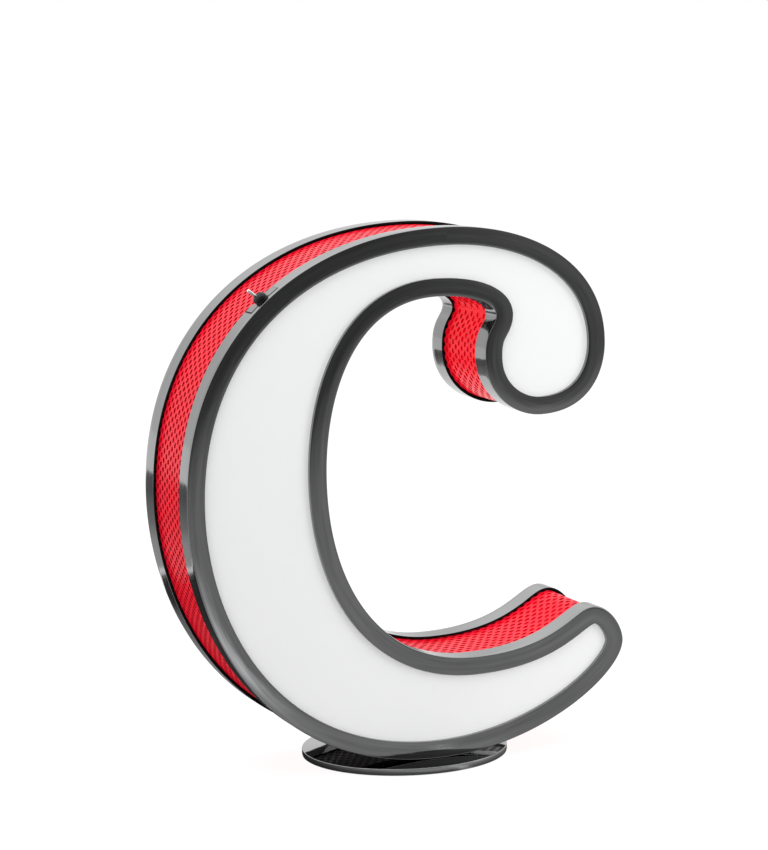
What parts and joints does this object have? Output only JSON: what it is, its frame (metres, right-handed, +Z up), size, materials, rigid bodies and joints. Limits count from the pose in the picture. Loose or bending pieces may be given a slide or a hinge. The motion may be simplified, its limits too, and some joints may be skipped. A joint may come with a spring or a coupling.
{
  "type": "letter night light",
  "caption": "Free-standing illuminated letter with polished frames, opal faces, a perforated side band, a toggle switch and a round base.",
  "frame": {"origin": "centre of the round foot's underside, on the table", "axes": "+Z up, -Y towards the front face of the letter, +X to the right as the front is seen"},
  "size_m": [0.397, 0.182, 0.4682],
  "materials": {
    "black_chrome": "polished black chrome",
    "opal_acrylic": "opal, smooth",
    "red_paint": "gloss red on perforated sheet",
    "dark_red_paint": "satin dark red",
    "black_rubber": "matt",
    "steel": "plain",
    "aluminium": "mill finish",
    "white_plastic": "moulded",
    "wire": "insulation",
    "blue_plastic": "moulded",
    "black_plastic": "moulded",
    "bright_chrome": "polished",
    "brass": "plain"
  },
  "bodies": {
    "lamp": {"front_trim": "black_chrome", "rear_trim": "black_chrome", "front_diffuser": "opal_acrylic", "rear_diffuser": "opal_acrylic", "outer_mesh": "red_paint", "inner_mesh": "red_paint", "front_seal": "black_rubber", "rear_seal": "black_rubber", "liner": "dark_red_paint", "tie_rods": "steel", "frame_screws": "black_chrome", "led_carrier": "aluminium", "front_leds": "white_plastic", "rear_leds": "white_plastic", "front_led_leads": "wire", "rear_led_leads": "wire", "switch_plate": "black_chrome", "switch_body": "blue_plastic", "switch_bushing": "bright_chrome", "switch_nut": "black_plastic", "switch_boot": "black_rubber", "switch_terminals": "brass", "switch_leads": "wire", "inlet_body": "black_plastic", "inlet_nut": "steel", "inlet_contacts": "brass", "inlet_leads": "wire", "base_plate": "black_chrome", "foot_pad": "black_rubber", "base_saddle": "steel", "base_spacer": "aluminium", "nut_plate": "steel", "base_screws": "steel"},
    "lever": {"switch_lever": "bright_chrome", "switch_pin": "steel"},
    "rocker": {"switch_rocker": "brass"}
  },
  "joints": [
    {"name": "lever_tilt", "type": "hinge", "parent": "lamp", "child": "lever", "pos_m": [-0.1345, -0.04775, 0.41325], "axis": [0, 1, 0], "range_deg": [0, 26]},
    {"name": "rocker_tilt", "type": "hinge", "parent": "lamp", "child": "rocker", "pos_m": [-0.13034, -0.04775, 0.40825], "axis": [0, 1, 0], "range_deg": [-13, 0]}
  ],
  "couplings": [
    {"joint": "rocker_tilt", "follows": "lever_tilt", "ratio": -0.5}
  ]
}
